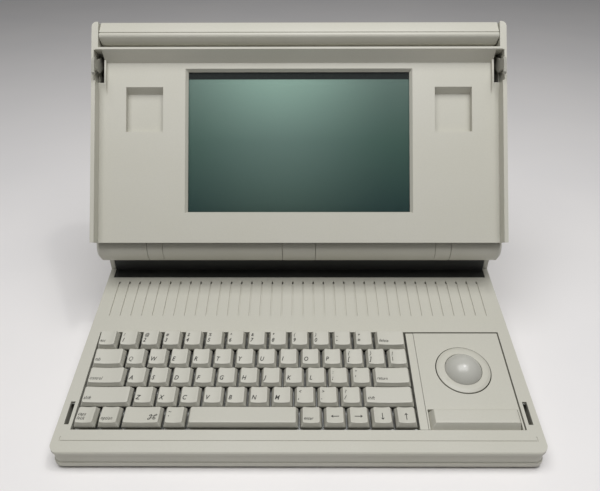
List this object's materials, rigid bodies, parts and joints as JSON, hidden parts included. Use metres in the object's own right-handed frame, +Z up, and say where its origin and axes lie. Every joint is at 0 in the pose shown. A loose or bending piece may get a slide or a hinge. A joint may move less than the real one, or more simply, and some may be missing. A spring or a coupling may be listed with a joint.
{
  "type": "luggable computer",
  "caption": "Luggable computer with a sloping keyboard and trackball deck, a tilting screen lid on a barrel hinge, a pull-out carrying handle and a rear bay.",
  "frame": {"origin": "middle of the footprint, on the table under the rubber feet", "axes": "+X towards the user's right, +Y to the back, +Z up"},
  "size_m": [0.387, 0.365, 0.2747],
  "materials": {
    "case_plastic": "fine moulded texture, warm light grey",
    "hook_plastic": "smooth moulded grey",
    "key_plastic": "fine matt, warm light grey",
    "ball_plastic": "polished pale grey",
    "dark_plastic": "moulded, dark grey",
    "battery_case": "moulded, dark blue-grey",
    "steel": "plated sheet and bar",
    "drive_metal": "die cast, satin",
    "circuit_board": "green solder mask",
    "display_glass": "clear sheet with a soft sheen",
    "display_cell": "grey-green liquid crystal cell, unlit",
    "rubber": "black, matt"
  },
  "bodies": {
    "base": {"lower_case": "case_plastic", "upper_case": "case_plastic", "rear_cover": "case_plastic", "hinge_cradle": "dark_plastic", "port_panel": "steel", "port_shells": "steel", "port_cores": "dark_plastic", "round_sockets": "dark_plastic", "power_inlet": "dark_plastic", "rubber_feet": "rubber", "case_screws": "steel", "base_knuckles": "case_plastic", "hinge_brackets": "steel", "hinge_pins": "steel", "key_switches": "dark_plastic", "keyboard_plate": "steel", "keyboard_tray": "dark_plastic", "keyboard_board": "circuit_board", "module_divider": "case_plastic", "trackball_plate": "case_plastic", "trackball_cup": "dark_plastic", "module_base": "dark_plastic", "button_switch": "dark_plastic", "inner_frame": "steel", "logic_board": "circuit_board", "board_chips": "dark_plastic", "battery_pack": "battery_case", "hard_drive": "drive_metal", "floppy_drive": "drive_metal", "drive_front": "case_plastic", "speaker": "dark_plastic", "latch_strikers": "steel"},
    "lid": {"lid_knuckles": "case_plastic", "barrel_caps": "case_plastic", "lid_back": "case_plastic", "lid_bezel": "case_plastic", "display_window": "display_glass", "display_panel": "display_cell", "display_frame": "steel", "driver_board": "circuit_board", "lid_screws": "steel", "handle_guides": "case_plastic"},
    "handle": {"handle_cap": "case_plastic", "handle_grip": "case_plastic", "handle_arms": "steel"},
    "latch": {"latch_bar": "steel", "latch_hooks": "hook_plastic"},
    "keys_1": {"key_row_1": "key_plastic"},
    "keys_2": {"key_row_2": "key_plastic"},
    "keys_3": {"key_row_3": "key_plastic"},
    "keys_4": {"key_row_4": "key_plastic"},
    "keys_5": {"key_row_5": "key_plastic"},
    "space": {"space_bar": "key_plastic"},
    "ball": {"track_ball": "ball_plastic"},
    "ring": {"retaining_ring": "case_plastic"},
    "roller_a": {"roller_across": "steel"},
    "roller_b": {"roller_along": "steel"},
    "button": {"track_button": "case_plastic"}
  },
  "joints": [
    {"name": "lid_hinge", "type": "hinge", "parent": "base", "child": "lid", "pos_m": [0, 0.00436, 0.0894], "axis": [-1, 0, 0], "range_deg": [-135.1, 5]},
    {"name": "handle_slide", "type": "slide", "parent": "lid", "child": "handle", "axis": [0, 0.5821, 0.8131], "range_m": [0, 0.03]},
    {"name": "latch_slide", "type": "slide", "parent": "lid", "child": "latch", "axis": [0, 0.5821, 0.8131], "range_m": [-0.003, 0]},
    {"name": "key_row_1_press", "type": "slide", "parent": "base", "child": "keys_1", "axis": [0, 0.165, -0.9863], "range_m": [0, 0.0035], "stiffness_N_per_m": 400, "springref_m": -0.002},
    {"name": "key_row_2_press", "type": "slide", "parent": "base", "child": "keys_2", "axis": [0, 0.165, -0.9863], "range_m": [0, 0.0035], "stiffness_N_per_m": 400, "springref_m": -0.002},
    {"name": "key_row_3_press", "type": "slide", "parent": "base", "child": "keys_3", "axis": [0, 0.165, -0.9863], "range_m": [0, 0.0035], "stiffness_N_per_m": 400, "springref_m": -0.002},
    {"name": "key_row_4_press", "type": "slide", "parent": "base", "child": "keys_4", "axis": [0, 0.165, -0.9863], "range_m": [0, 0.0035], "stiffness_N_per_m": 400, "springref_m": -0.002},
    {"name": "key_row_5_press", "type": "slide", "parent": "base", "child": "keys_5", "axis": [0, 0.165, -0.9863], "range_m": [0, 0.0035], "stiffness_N_per_m": 400, "springref_m": -0.002},
    {"name": "space_bar_press", "type": "slide", "parent": "base", "child": "space", "axis": [0, 0.165, -0.9863], "range_m": [0, 0.0035], "stiffness_N_per_m": 400, "springref_m": -0.002},
    {"name": "ball_spin", "type": "hinge", "parent": "base", "child": "ball", "pos_m": [0.14184, -0.10612, 0.02728], "axis": [1, 0, 0], "continuous": true},
    {"name": "roller_across_spin", "type": "hinge", "parent": "base", "child": "roller_a", "pos_m": [0.14184, -0.12203, 0.01635], "axis": [1, 0, 0], "continuous": true},
    {"name": "roller_along_spin", "type": "hinge", "parent": "base", "child": "roller_b", "pos_m": [0.12435, -0.10478, 0.01924], "axis": [0, 0.9863, 0.165], "continuous": true},
    {"name": "ring_twist", "type": "hinge", "parent": "base", "child": "ring", "pos_m": [0.14184, -0.10715, 0.03341], "axis": [0, -0.165, 0.9863], "range_deg": [-30, 0]},
    {"name": "button_press", "type": "slide", "parent": "base", "child": "button", "axis": [0, 0.165, -0.9863], "range_m": [0, 0.0012], "stiffness_N_per_m": 600, "springref_m": -0.001}
  ],
  "couplings": [
    {"joint": "roller_across_spin", "follows": "ball_spin", "ratio": -8.5}
  ]
}
